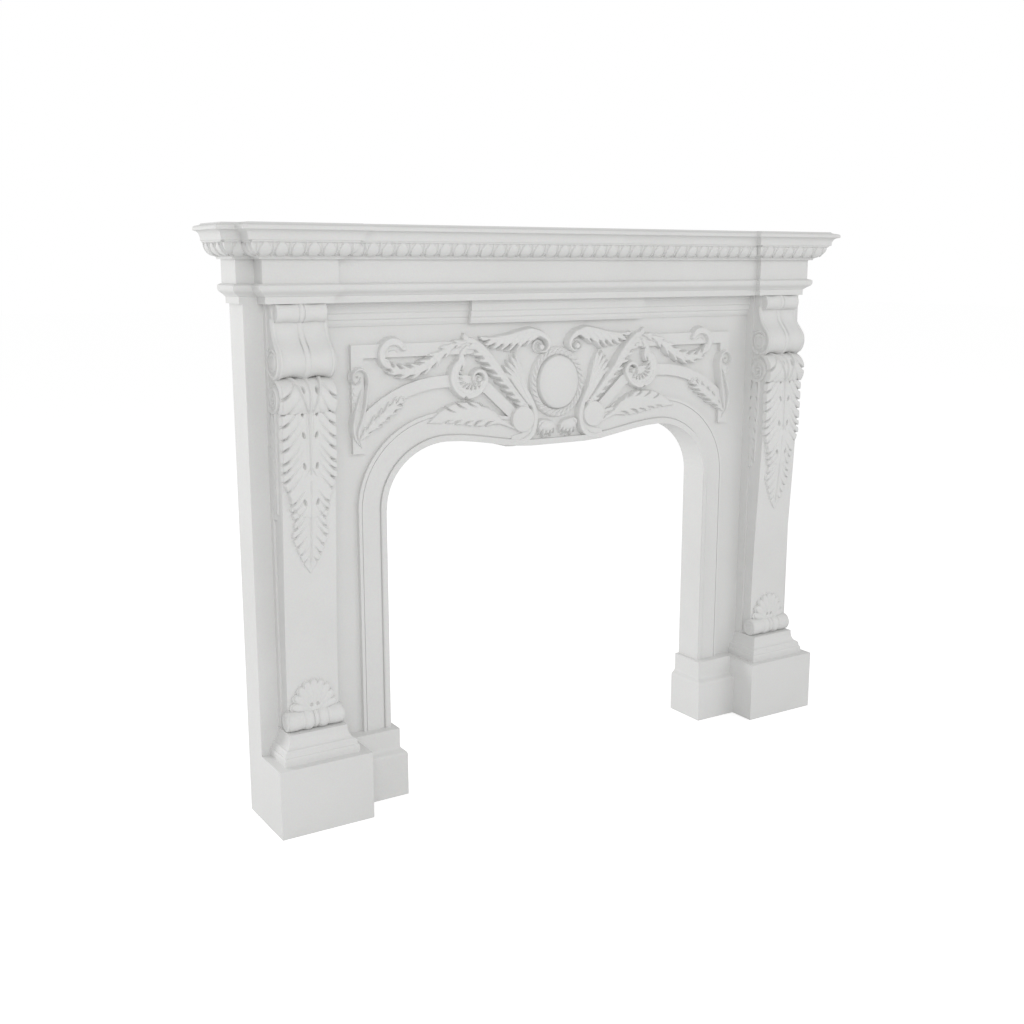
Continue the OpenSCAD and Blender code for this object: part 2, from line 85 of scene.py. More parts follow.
def stone_material(name):
    """Honed pale limestone: faint cloudy tone, fine grain and a soft matt surface."""
    mat = bpy.data.materials.new(name)
    mat.use_nodes = True
    nodes, links = mat.node_tree.nodes, mat.node_tree.links
    nodes.clear()
    out = nodes.new("ShaderNodeOutputMaterial")
    shader = nodes.new("ShaderNodeBsdfPrincipled")
    links.new(shader.outputs["BSDF"], out.inputs["Surface"])
    shader.inputs["Specular IOR Level"].default_value = 0.25
    coords = nodes.new("ShaderNodeTexCoord")

    cloud = nodes.new("ShaderNodeTexNoise")
    cloud.inputs["Scale"].default_value = 3.5
    cloud.inputs["Detail"].default_value = 6
    cloud.inputs["Roughness"].default_value = 0.6
    links.new(coords.outputs["Object"], cloud.inputs["Vector"])
    grain = nodes.new("ShaderNodeTexNoise")
    grain.inputs["Scale"].default_value = 260
    grain.inputs["Detail"].default_value = 3
    links.new(coords.outputs["Object"], grain.inputs["Vector"])

    ramp = nodes.new("ShaderNodeValToRGB")
    ramp.color_ramp.elements[0].position = 0.3
    ramp.color_ramp.elements[1].position = 0.72
    low, high = 0.74, 0.78      # darkest and palest tone of the stone
    ramp.color_ramp.elements[0].color = (low, low, low * 0.985, 1)
    ramp.color_ramp.elements[1].color = (high, high, high * 0.99, 1)
    links.new(cloud.outputs["Fac"], ramp.inputs["Fac"])
    speck = nodes.new("ShaderNodeMix")
    speck.data_type = "RGBA"
    speck.blend_type = "MULTIPLY"
    speck.inputs["Factor"].default_value = 0.12
    links.new(ramp.outputs["Color"], speck.inputs["A"])
    links.new(grain.outputs["Color"], speck.inputs["B"])
    links.new(speck.outputs["Result"], shader.inputs["Base Color"])

    rough = nodes.new("ShaderNodeMapRange")
    rough.inputs["To Min"].default_value = 0.62
    rough.inputs["To Max"].default_value = 0.8
    links.new(cloud.outputs["Fac"], rough.inputs["Value"])
    links.new(rough.outputs["Result"], shader.inputs["Roughness"])

    bump = nodes.new("ShaderNodeBump")
    bump.inputs["Strength"].default_value = 0.06
    bump.inputs["Distance"].default_value = 0.0006
    links.new(grain.outputs["Fac"], bump.inputs["Height"])
    links.new(bump.outputs["Normal"], shader.inputs["Normal"])
    return mat


STONE = stone_material("pale_stone")


# ---------------------------------------------------------------- stage

def make_floor():
    """A plain matt floor. A glow that only the camera sees keeps it as pale as the wall."""
    mesh = bpy.data.meshes.new("floor")
    half = 30                   # metres from the middle to each side
    corners = [(-half, -half, 0), (half, -half, 0), (half, half, 0), (-half, half, 0)]
    mesh.from_pydata(corners, [], [(0, 1, 2, 3)])
    floor = bpy.data.objects.new("floor", mesh)
    bpy.context.scene.collection.objects.link(floor)
    mat = bpy.data.materials.new("floor_white")
    mat.use_nodes = True
    nodes, links = mat.node_tree.nodes, mat.node_tree.links
    nodes.clear()
    out = nodes.new("ShaderNodeOutputMaterial")
    matt = nodes.new("ShaderNodeBsdfDiffuse")
    matt.inputs["Color"].default_value = (0.88, 0.88, 0.88, 1)
    glow = nodes.new("ShaderNodeEmission")
    glow.inputs["Color"].default_value = (1, 1, 1, 1)
    glow.inputs["Strength"].default_value = 0.45
    total = nodes.new("ShaderNodeAddShader")
    path = nodes.new("ShaderNodeLightPath")
    pick = nodes.new("ShaderNodeMixShader")
    links.new(path.outputs["Is Camera Ray"], pick.inputs["Fac"])
    links.new(matt.outputs["BSDF"], pick.inputs[1])
    links.new(matt.outputs["BSDF"], total.inputs[0])
    links.new(glow.outputs["Emission"], total.inputs[1])
    links.new(total.outputs["Shader"], pick.inputs[2])
    links.new(pick.outputs["Shader"], out.inputs["Surface"])
    mesh.materials.append(mat)


def make_world():
    """Soft light from all round, and plain white where it is seen directly or reflected."""
    world = bpy.data.worlds.new("studio")
    bpy.context.scene.world = world
    world.use_nodes = True
    nodes, links = world.node_tree.nodes, world.node_tree.links
    nodes.clear()
    out = nodes.new("ShaderNodeOutputWorld")
    light = nodes.new("ShaderNodeBackground")
    light.inputs["Color"].default_value = (1, 1, 1, 1)
    light.inputs["Strength"].default_value = 0.62
    seen = nodes.new("ShaderNodeBackground")
    seen.inputs["Color"].default_value = (1, 1, 1, 1)
    seen.inputs["Strength"].default_value = 1.0
    path = nodes.new("ShaderNodeLightPath")
    seen_or_glossy = nodes.new("ShaderNodeMath")
    seen_or_glossy.operation = "MAXIMUM"
    any_direct = nodes.new("ShaderNodeMath")
    any_direct.operation = "MAXIMUM"
    mix = nodes.new("ShaderNodeMixShader")
    links.new(path.outputs["Is Camera Ray"], seen_or_glossy.inputs[0])
    links.new(path.outputs["Is Glossy Ray"], seen_or_glossy.inputs[1])
    links.new(seen_or_glossy.outputs["Value"], any_direct.inputs[0])
    links.new(path.outputs["Is Transmission Ray"], any_direct.inputs[1])
    links.new(any_direct.outputs["Value"], mix.inputs["Fac"])
    links.new(light.outputs["Background"], mix.inputs[1])
    links.new(seen.outputs["Background"], mix.inputs[2])
    links.new(mix.outputs["Shader"], out.inputs["Surface"])


def area_light(name, location, target, size, power):
    """A round lamp that faces the target; metres and watts."""
    data = bpy.data.lights.new(name, "AREA")
    data.shape = "DISK"
    data.size = size
    data.energy = power
    lamp = bpy.data.objects.new(name, data)
    bpy.context.scene.collection.objects.link(lamp)
    lamp.location = location
    aim = np.array(target, float) - np.array(location, float)
    lamp.rotation_euler = look_rotation(aim)


def look_rotation(aim):
    """Euler angles that point an object's -Z along aim, with no roll."""
    x, y, z = aim
    flat = math.hypot(x, y)
    return (math.pi / 2 + math.atan2(z, flat), 0, -math.atan2(x, y))


def make_camera():
    """From the left of the mantel and a little above its middle, looking in and down."""
    data = bpy.data.cameras.new("camera")
    data.lens = 43.28
    data.sensor_width = 36
    data.clip_end = 100
    camera = bpy.data.objects.new("camera", data)
    bpy.context.scene.collection.objects.link(camera)
    camera.location = (-1.6496, WALL_Y - 2.5012, 1.2021)
    camera.rotation_euler = (math.pi / 2 - 0.1987, 0, -0.5601)
    bpy.context.scene.camera = camera


make_camera()
make_world()
make_floor()
area_light("key", (-1.8, -3.6, 2.2), (0, 0, 0.7), 2.5, 38)
area_light("fill", (2.5, -3.5, 2.2), (0, 0, 0.7), 3.0, 28)
area_light("side", (-3.2, 3.4, 1.5), (0, 0, 0.6), 2.0, 86)
bpy.context.scene.view_settings.view_transform = "Standard"

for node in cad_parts.values():
    node.data.materials.clear()
    node.data.materials.append(STONE)

# ---------------------------------------------------------------- relief tools

WALL_SLOPE = 4.0        # steepness of the carving's side walls, mm of height per mm
SUNK = 1.2              # how far the skirt of a relief goes below its base


def curve(points, count=None):
    """Smooth path through the points (Catmull-Rom), about count points long."""
    p = np.array(points, float)
    if len(p) == 2:
        return p[0] + (p[1] - p[0]) * np.linspace(0, 1, 6)[:, None]
    count = count or 5 * len(p)
    ends = np.vstack([2 * p[0] - p[1], p, 2 * p[-1] - p[-2]])
    t = np.linspace(0, len(p) - 1 - 1e-9, count)
    i = t.astype(int)
    u = (t - i)[:, None]
    a, b, c, d = ends[i], ends[i + 1], ends[i + 2], ends[i + 3]
    return 0.5 * (2 * b + (c - a) * u + (2 * a - 5 * b + 4 * c - d) * u ** 2
                  + (3 * b - a - 3 * c + d) * u ** 3)


def ramp(t, stops):
    """Piecewise-linear value at t from (t, value) stops."""
    return np.interp(t, [s[0] for s in stops], [s[1] for s in stops])


class Field:
    """Heights over a regular grid of (x, z); shapes are laid on it, the highest wins."""

    def __init__(self, x0, x1, z0, z1, step):
        self.x = np.linspace(x0, x1, int(round((x1 - x0) / step)) + 1)
        self.z = np.linspace(z0, z1, int(round((z1 - z0) / step)) + 1)
        self.h = np.full((len(self.z), len(self.x)), -SUNK)

    def window(self, low, high):
        ix = slice(*np.searchsorted(self.x, [low[0], high[0]]))
        iz = slice(*np.searchsorted(self.z, [low[1], high[1]]))
        return iz, ix

    def lay(self, iz, ix, height):
        self.h[iz, ix] = np.maximum(self.h[iz, ix], height)

    def near(self, path, reach):
        """For the grid points within reach of a path: their window, distance, side and t."""
        iz, ix = self.window(path.min(0) - reach, path.max(0) + reach)
        gx, gz = np.meshgrid(self.x[ix], self.z[iz])
        best = np.full(gx.shape, 1e9)
        t = np.zeros(gx.shape)
        side = np.zeros(gx.shape)
        lengths = np.hypot(*np.diff(path, axis=0).T)
        run = np.concatenate([[0], np.cumsum(lengths)])
        for k, (a, b) in enumerate(zip(path[:-1], path[1:])):
            e = b - a
            u = np.clip(((gx - a[0]) * e[0] + (gz - a[1]) * e[1]) / max(e @ e, 1e-9), 0, 1)
            dx, dz = gx - a[0] - u * e[0], gz - a[1] - u * e[1]
            dist = np.hypot(dx, dz)
            closer = dist < best
            best = np.where(closer, dist, best)
            t = np.where(closer, (run[k] + u * lengths[k]) / run[-1], t)
            side = np.where(closer, np.sign(e[0] * dz - e[1] * dx), side)
        return iz, ix, best, side, t

    def blade(self, points, width, top, edge=0.55, hollow=0.0, smooth=True):
        """A band along a path. width and top are (t, value) stops for the half width and
        the height; edge is the height of its sides as a share, and hollow sinks a channel
        along it."""
        path = curve(points) if smooth else np.array(points, float)
        widest = max(w for _, w in width)
        iz, ix, dist, _, t = self.near(path, widest + 2)
        w = np.maximum(ramp(t, width), 0.05)
        peak = ramp(t, top)
        s = np.clip(dist / w, 0, 1)
        body = peak * (edge + (1 - edge) * np.sqrt(1 - s * s))
        body -= peak * hollow * np.exp(-(s / 0.42) ** 2)
        wall = WALL_SLOPE * (w - dist)
        self.lay(iz, ix, np.maximum(np.minimum(body, wall), -SUNK))

    def dome(self, cx, cz, rx, rz, top, edge=0.6, wall=WALL_SLOPE):
        """A domed boss on an oval."""
        r = max(rx, rz) + 2
        iz, ix = self.window((cx - r, cz - r), (cx + r, cz + r))
        gx, gz = np.meshgrid(self.x[ix] - cx, self.z[iz] - cz)
        q = np.hypot(gx / rx, gz / rz)
        body = top * (edge + (1 - edge) * np.sqrt(np.clip(1 - q * q, 0, 1)))
        wall = wall * min(rx, rz) * (1 - q)
        self.lay(iz, ix, np.maximum(np.minimum(body, wall), -SUNK))

    def drill(self, cx, cz, rx, rz, depth, turn=0.0):
        """A small round-ended hole sunk into what is there."""
        r = max(rx, rz) * 1.6 + 1
        iz, ix = self.window((cx - r, cz - r), (cx + r, cz + r))
        gx, gz = np.meshgrid(self.x[ix] - cx, self.z[iz] - cz)
        c, s = math.cos(turn), math.sin(turn)
        q = np.hypot((gx * c + gz * s) / rx, (gz * c - gx * s) / rz)
        self.h[iz, ix] -= depth * np.clip(1.35 - q, 0, 1) * (self.h[iz, ix] > 0)

    def score(self, points, width, depth):
        """A fine groove of given half width and depth along a path, cut into what is there."""
        iz, ix, dist, _, _ = self.near(curve(points), width * 2)
        dip = depth * np.clip(1 - (dist / width) ** 2, 0, 1)
        self.h[iz, ix] -= dip * (self.h[iz, ix] > 0)

    def cut(self, points, width, depth):
        """A tapering groove; width and depth are (t, value) stops along its path."""
        iz, ix, dist, _, t = self.near(curve(points), max(w for _, w in width) * 1.2)
        w = np.maximum(ramp(t, width), 0.1)
        dip = ramp(t, depth) * np.clip(1 - (dist / w) ** 2, 0, 1)
        here = self.h[iz, ix]
        self.h[iz, ix] = np.where(here > 0, np.maximum(here - dip, -SUNK), here)

    def leaf(self, points, width, top, lobes, tilt=38, sides=(1, -1), notch=0.45, rib=2.2,
             plain=0.7):
        """A carved leaf: rounded lobes lean off a midrib towards the tip, joined by creases
        that open into gaps near the edge. width and top are (t, value) stops for the reach
        of the lobes and their height; notch is how far in the gaps run, as a share of the
        reach. A side not named in sides has a smooth edge at plain times the reach."""
        path = curve(points, 9 * len(points))
        most = max(w for _, w in width)
        iz, ix, dist, side, t = self.near(path, most * 1.15 + 2)
        total = np.hypot(*np.diff(path, axis=0).T).sum()
        lead = 1 / math.tan(math.radians(tilt))
        back = t - lead * dist / total
        pair = (lobes, lobes) if np.isscalar(lobes) else lobes
        count = np.where(side >= 0, pair[0], pair[1])
        k = np.floor(back * count)
        p = np.abs(back * count - k - 0.5)
        w = np.maximum(ramp(np.clip((k + 0.5) / count, 0, 1), width), 0.1)
        u = dist / w
        v = np.clip((u - 1 + notch) / notch, 0, 1)
        half = 0.5 * (1 - 0.3 * v) * np.sqrt(1 - v ** 4)
        q = np.clip(p / np.maximum(half, 1e-3), 0, 1)
        crease = 0.07 + 0.28 * np.clip(u, 0, 1) ** 2
        body = ramp(t, top) * (1 - crease * (1 - np.sqrt(1 - q * q)))
        body *= 1 - 0.1 * np.clip(u, 0, 1) ** 2
        gap = WALL_SLOPE * (half - p) * total / count * math.sin(math.radians(tilt))
        joined = WALL_SLOPE * (1 - notch - u) * w
        wall = np.where(u < 1, np.maximum(gap, np.minimum(joined, body)), WALL_SLOPE * (1 - u) * w)
        height = np.where(back > 0, np.minimum(body, wall), -SUNK)
        if len(sides) < 2:
            reach = np.maximum(plain * ramp(t, width), 0.1)
            flat = ramp(t, top) * (0.7 + 0.3 * np.sqrt(np.clip(1 - (dist / reach) ** 2, 0, 1)))
            height = np.where(side == sides[0], height, np.minimum(flat, WALL_SLOPE * (reach - dist)))
        self.lay(iz, ix, np.maximum(height, -SUNK))
        self.blade(points, [(0, rib), (0.85, rib), (1, rib * 0.5)], top, edge=0.8)

    def volute(self, cx, cz, r0, r1, a0, a1, width0, width1, top, eye):
        """A scroll band that winds in from radius r0 at angle a0 to r1 at a1 round an eye."""
        n = max(16, int(abs(a1 - a0) / 9))
        f = np.linspace(0, 1, n)
        a = np.radians(a0 + (a1 - a0) * f)
        r = r0 + (r1 - r0) * f ** 0.8
        path = np.stack([cx + r * np.cos(a), cz + r * np.sin(a)], 1)
        self.blade(path, [(0, width0), (1, width1)], [(0, top), (1, top * 1.05)], edge=0.6,
                   hollow=0.12, smooth=False)
        self.dome(cx, cz, eye, eye, top * 1.08)

    def mesh(self, place):
        """Points and quads where the relief stands above its base. place turns grid values
        and heights into scene points."""
        h = self.h
        keep = (h[:-1, :-1] > 0) | (h[1:, :-1] > 0) | (h[:-1, 1:] > 0) | (h[1:, 1:] > 0)
        gx, gz = np.meshgrid(self.x, self.z)
        points = place(gx, gz, h).reshape(-1, 3)
        rows, cols = np.nonzero(keep)
        wide = h.shape[1]
        a = rows * wide + cols
        quads = np.stack([a, a + 1, a + wide + 1, a + wide], 1)
        used, index = np.unique(quads, return_inverse=True)
        return points[used], index.reshape(quads.shape).tolist()


def flipped(part):
    """The same part with its faces turned over."""
    points, faces = part
    return points, [face[::-1] for face in faces]


def turned(part, mirrored):
    """A part whose shape was mirrored has its faces turned over, to point outwards."""
    return flipped(part) if mirrored else part


def joined(parts):
    """Several parts as one. A part is its points and its faces."""
    points, faces, shift = [], [], 0
    for part_points, part_faces in parts:
        points.append(part_points)
        faces.extend([[i + shift for i in face] for face in part_faces])
        shift += len(part_points)
    return np.vstack(points), faces


def add_piece(name, *parts):
    """Makes one smooth visual piece of its parts, rides it and gives it the stone."""
    points, faces = joined(parts)
    mesh = bpy.data.meshes.new(name)
    mesh.from_pydata(points.tolist(), [], faces)
    mesh.polygons.foreach_set("use_smooth", [True] * len(mesh.polygons))
    mesh.materials.append(STONE)
    mesh.update()
    piece = bpy.data.objects.new(name, mesh)
    bpy.context.scene.collection.objects.link(piece)
    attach(piece, "root")


# ---------------------------------------------------------------- carved arch panel

GROUND = 66.0           # depth of the plain ground of the arch panel
ARCH_TOP = 781.0        # height of the opening at its middle
STEP = 1.15             # grid of the carved pieces
DISC_X, DISC_Z, DISC_R = -102.0, 846.0, 32.4            # plain disc where the stems meet
SCROLL_X, SCROLL_Z, SCROLL_R = -246.0, 951.0, 43.0      # big C scroll
CURL_X, CURL_Z, CURL_R = -437.0, 1009.0, 28.0           # curl at the end of the outer branch
OVAL_Z = ARCH_TOP + 146.5                               # middle of the oval boss
OVAL_RX, OVAL_RZ = 57.2, 63.7
WREATH_RX, WREATH_RZ = 67.5, 74.0                       # middle line of the wreath
WREATH_TURNS = 16


def arc(cx, cz, r, degrees):
    """Points on a circle at the given angles."""
    return [(cx + r * math.cos(math.radians(a)), cz + r * math.sin(math.radians(a))) for a in degrees]


def draw_spandrel(f):
    """The left half of the carving; x is negative to the left of the middle."""
    # rim of the arch bead, curling up round the disc, and its stem along the wreath
    f.blade([(-200, 806), (-160, 796), (-122, 790), (-92, 796), (-72, 813), (-65, 842), (-69, 868),
             (-82, 895), (-97, 920), (-111, 945)],
            [(0, 5), (0.25, 9), (0.6, 9.5), (0.85, 9), (1, 5)],
            [(0, 14.6), (0.35, 16), (0.7, 18), (1, 15)], hollow=0.1)
    f.dome(DISC_X, DISC_Z, DISC_R, DISC_R, 21, edge=0.84, wall=8)
    f.blade([(-124, 802), (-104, 806), (-86, 816), (-76, 834), (-74, 860)], [(0, 10), (1, 9)],
            [(0, 13), (1, 13)], edge=0.85)
    # crest that curls into the top volute
    f.leaf([(-48, 1043), (-78, 1046), (-112, 1043), (-150, 1037), (-180, 1036), (-205, 1040)],
           [(0, 26), (0.2, 40), (0.45, 30), (0.75, 22), (1, 4)], [(0, 19), (0.5, 19), (1, 13)], 7,
           tilt=38, sides=(1,), notch=0.3, plain=0.36)
    f.blade([(-120, 1042), (-84, 1046), (-56, 1043), (-35, 1031), (-30, 1014), (-40, 1002), (-54, 1002)],
            [(0, 6), (0.3, 11), (0.6, 10), (0.85, 7), (1, 5)], [(0, 17), (0.5, 22), (1, 20)], edge=0.5,
            hollow=0.08)
    f.blade([(-54, 1002), (-63, 1010), (-59, 1021), (-50, 1022)], [(0, 5), (1, 4)], [(0, 19), (1, 17)])
    f.dome(-51, 1012, 11, 11, 21)
    # fan leaf between the stem and the diagonal leaf
    for i, (x, z) in enumerate(((-153, 958), (-151, 973), (-143, 985), (-132, 996), (-119, 999),
                                (-110, 985), (-105, 968))):
        root = (-80 - i, 886 + 3 * i)
        mid = ((x + root[0]) / 2 + 9 - 2.2 * i, (z + root[1]) / 2 + 2)
        f.blade([root, mid, (x, z)], [(0, 5), (0.6, 8), (0.88, 6.5), (1, 1.5)],
                [(0, 15), (0.6, 16), (1, 10)], edge=0.6, hollow=0.15)
    f.blade([(-80, 880), (-102, 908), (-126, 942)], [(0, 8), (1, 11)], [(0, 15), (1, 14)], edge=0.75)
    # long diagonal leaf over the C scroll
    f.leaf([(-88, 872), (-126, 913), (-162, 955), (-196, 997), (-224, 1024), (-243, 1040)],
           [(0, 15), (0.25, 19), (0.6, 26), (0.85, 25), (0.95, 17), (1, 3)],
           [(0, 17), (0.5, 22), (0.85, 18), (1, 11)], 10, tilt=44, sides=(1,), notch=0.36, plain=0.5)
    # C scroll with its leaf lobes and inner volute
    ring = [(-250, 1020), (-264, 1006)]
    ring += arc(SCROLL_X, SCROLL_Z, SCROLL_R, range(123, 331, 23))
    f.leaf(ring, [(0, 12), (0.25, 30), (0.7, 30), (1, 14)], [(0, 14), (0.4, 17), (1, 17)], 11, tilt=46,
           sides=(1,), notch=0.38, plain=0.33)
    f.blade(ring + [(-201, 944), (-206, 958), (-219, 964), (-232, 958), (-236, 945)],
            [(0, 6), (0.3, 10), (0.7, 10), (1, 6)], [(0, 15), (0.4, 20), (1, 18)], hollow=0.1)
    f.blade([(-236, 945), (-232, 932), (-222, 930), (-214, 938)], [(0, 5), (1, 4.5)], [(0, 18), (1, 16)])
    f.dome(-220, 944, 8.5, 8.5, 19)
    f.drill(-226, 951, 6.5, 3.0, 16, turn=0.5)
    # lower leaf along the arch: a broad body with short slashes at both edges
    f.blade([(-122, 824), (-158, 842), (-196, 856), (-240, 866), (-288, 868), (-328, 860), (-357, 851)],
            [(0, 5), (0.2, 10), (0.34, 26), (0.5, 31), (0.68, 27), (0.85, 16), (1, 1.5)],
            [(0, 16), (0.4, 20), (1, 15)], edge=0.66)
    f.blade([(-122, 824), (-196, 856), (-288, 868), (-340, 857)], [(0, 4), (0.6, 3), (1, 1)],
            [(0, 17), (0.5, 22), (1, 16)], edge=0.7)
    for x, z0, z1 in ((-196, 888, 876), (-222, 902, 886), (-250, 904, 889), (-278, 902, 887),
                      (-306, 894, 880)):
        f.cut([(x - 6, z0), (x + 6, z1), (x + 24, z1 - 8)], [(0, 4), (0.5, 2.6), (1, 1)],
              [(0, 18), (0.45, 12), (1, 1)])
    for x, z0, z1 in ((-206, 832, 842), (-234, 834, 846), (-262, 833, 846), (-290, 836, 849),
                      (-316, 840, 851)):
        f.cut([(x - 6, z0 - 2), (x + 6, z1), (x + 24, z1 + 5)], [(0, 5), (0.5, 3.4), (1, 1.2)],
              [(0, 18), (0.45, 12), (1, 1)])
    # outer scroll and its leafy branch
    f.blade(arc(CURL_X, CURL_Z, CURL_R, range(28, 262, 18)),
            [(0, 10), (0.15, 11.5), (0.5, 12), (0.8, 11), (1, 9)], [(0, 19), (0.5, 22), (1, 18)],
            edge=0.6, hollow=0.12)
    f.dome(-411, 1021, 11, 9, 20)
    f.drill(-424, 1012, 3, 4.5, 6)
    f.blade([(-424, 1012), (-432, 1018), (-444, 1016), (-450, 1006)], [(0, 3), (0.5, 4), (1, 2)],
            [(0, 12), (1, 13)])
    f.leaf([(-250, 1032), (-285, 1024), (-315, 1008), (-345, 988), (-376, 974), (-408, 970), (-436, 976),
            (-456, 992)],
           [(0, 7), (0.25, 17), (0.6, 18), (0.85, 13), (1, 8)], [(0, 15), (0.5, 19), (1, 18)], (8, 8),
           tilt=30, notch=0.3)
    f.blade([(-262, 1020), (-295, 1012), (-325, 994)], [(0, 3), (0.5, 5), (1, 2)], [(0, 12), (1, 12)])
    # ornament beside the frame: volute, two stems, curled leaflets
    f.blade([(-516, 812), (-523, 838), (-515, 868), (-508, 896), (-503, 928), (-499, 954), (-505, 973),
             (-519, 981), (-533, 973), (-536, 958), (-528, 949), (-518, 953), (-515, 962)],
            [(0, 3), (0.15, 7), (0.5, 7), (0.75, 7), (1, 4)], [(0, 12), (0.3, 21), (1, 21)], edge=0.4)
    f.dome(-522, 964, 5.5, 5.5, 18)
    f.blade([(-514, 808), (-530, 830), (-535, 856), (-531, 884), (-522, 912), (-513, 938)],
            [(0, 3), (0.3, 7), (0.7, 6.5), (1, 3)], [(0, 12), (0.5, 20), (1, 15)], edge=0.4)
    for z in (930, 915, 900):
        f.blade([(-516, z - 8), (-528, z - 4), (-533, z + 6), (-528, z + 11)], [(0, 5), (0.6, 5), (1, 3)],
                [(0, 12), (1, 13)], hollow=0.1)
    f.leaf([(-520, 826), (-496, 850), (-467, 872), (-441, 892), (-416, 909)],
           [(0, 8), (0.25, 17), (0.7, 18), (1, 5)], [(0, 15), (0.5, 19), (1, 15)], (6, 6), tilt=30,
           notch=0.3)
    # short leaf foot where the disc, bar and diagonal leaf meet
    f.blade([(-84, 880), (-100, 880), (-116, 871)], [(0, 4), (0.5, 6), (1, 3)], [(0, 20), (1, 19)])


def draw_centre(f):
    """Oval boss, wreath of bound reeds and the pair of palmettes, about the middle."""
    ring = [(WREATH_RX * math.cos(math.radians(a)), OVAL_Z + WREATH_RZ * math.sin(math.radians(a)))
            for a in range(0, 361, 6)]
    f.blade(ring, [(0, 10.2), (1, 10.2)], [(0, 8), (1, 8)], edge=0.7, smooth=False)
    for k in range(2 * WREATH_TURNS):
        start = math.radians(180 * k / WREATH_TURNS + 4)
        reed = []
        for q in np.linspace(0, 1, 5):
            a = start + math.radians(17) * q
            off = 8.2 * (1 - 2 * q)
            reed.append(((WREATH_RX + off) * math.cos(a), OVAL_Z + (WREATH_RZ + off) * math.sin(a)))
        f.blade(reed, [(0, 1.5), (0.3, 5), (0.75, 4.6), (1, 1.5)], [(0, 10), (0.5, 14.5), (1, 10)],
                edge=0.35)
    f.dome(0, OVAL_Z, OVAL_RX, OVAL_RZ, 24.6, edge=0.46, wall=9)
    for side in (-1, 1):
        for x, z in ((56, 818), (51, 804), (40, 797), (28, 796), (17, 799), (8, 806)):
            f.blade([(side * 32, 838), (side * (x * 0.75 + 8), (z + 838) / 2 + 7), (side * x, z)],
                    [(0, 4), (0.6, 6.8), (1, 1.5)], [(0, 15), (0.7, 13), (1, 7)], edge=0.7)
        f.dome(side * 31, 825, 24, 15, 18, edge=0.35)
        f.drill(side * 28, 802, 2.5, 4, 12)
        f.drill(side * 16, 806, 2.0, 3.5, 12)
    f.drill(0, 826, 5, 4, 14)


def place_front(depth, mirror=1):
    """Lays a field on a flat front at the given depth; mirror is -1 for the right half."""
    def place(x, z, h):
        return to_scene(np.stack([mirror * x, depth + h, z], -1))
    return place


spandrel = Field(-552, -22, 782, 1062, STEP)
draw_spandrel(spandrel)
add_piece("spandrel_left", spandrel.mesh(place_front(GROUND)))
add_piece("spandrel_right", flipped(spandrel.mesh(place_front(GROUND, -1))))
centre = Field(-84, 84, 784, 1016, STEP)
draw_centre(centre)
add_piece("oval_and_wreath", centre.mesh(place_front(GROUND)))


# ---------------------------------------------------------------- pilasters

SHAFT_HALF = 59.5       # half width of the pilaster's shaft
SHAFT_OUT = 120.0       # how far the shaft's front stands out at its foot
SWELL = 20.0            # how much further it stands out under the head roll
SWELL_LOW = BASE_TOP + 86.0             # heights between which the front swells
SWELL_HIGH = CONSOLE_Z - 104.0
ROLL_R = 38.0           # roll at the head of the shaft
ROLL_D, ROLL_Z = 112.0, CONSOLE_Z - ROLL_R
FOOT_D, FOOT_Z = 120.0, BASE_TOP + 22.0   # middle of the roll at the shaft's foot
# Barrels of that roll: middle across, half width, radius at the middle and at the ends.
FOOT_BEADS = ((-17, 13, 24.5, 17), (17, 13, 24.5, 17), (0, 4, 22.5, 19),
              (-48, 15, 23.0, 21.2), (48, 15, 23.0, 21.2))
FOOT_HALF = 63.5        # half length of the foot roll
LEAF_TIP = 562.0        # height of the lowest tip of the long leaf
LEAF_REACH = 64.0       # how far its side slashes run out from the middle


def shaft_depth(z):
    """Projection of the shaft's front at height z."""
    t = np.clip((z - SWELL_LOW) / (SWELL_HIGH - SWELL_LOW), 0, 1)
    return SHAFT_OUT + SWELL * t * t * (3 - 2 * t)


def spine_of(points, step):
    """A (depth, z) outline resampled evenly: points, unit normals and length."""
    p = np.array(points, float)
    run = np.concatenate([[0], np.cumsum(np.hypot(*np.diff(p, axis=0).T))])
    s = np.linspace(0, run[-1], int(run[-1] / step) + 1)
    d = np.interp(s, run, p[:, 0])
    z = np.interp(s, run, p[:, 1])
    dd, dz = np.gradient(d, s), np.gradient(z, s)
    size = np.hypot(dd, dz)
    return s, d, z, dz / size, -dd / size


def place_on(outline, middle, mirror):
    """Lays (x, s, height) on a (depth, z) outline, about the pilaster at x = middle."""
    s, d, z, nd, nz = spine_of(outline, 1.0)

    def place(x, at, h):
        out = np.stack([mirror * (middle + x), np.interp(at, s, d) + np.interp(at, s, nd) * h,
                        np.interp(at, s, z) + np.interp(at, s, nz) * h], -1)
        return to_scene(out)
    return place


def head_outline():
    """Up the shaft's front and over the roll at its head."""
    z = np.arange(LEAF_TIP - 14, ROLL_Z - ROLL_R * math.sin(math.radians(47)) + 1, 4.0)
    shaft = np.stack([shaft_depth(z), z], 1)
    a = np.radians(np.arange(-40, 91, 5))
    roll = np.stack([ROLL_D + ROLL_R * np.cos(a), ROLL_Z + ROLL_R * np.sin(a)], 1)
    return np.vstack([shaft, roll])


HEAD = head_outline()
HEAD_S = spine_of(HEAD, 1.0)


def s_at(z):
    """Length along the head outline at height z."""
    return np.interp(z, HEAD_S[2], HEAD_S[0])


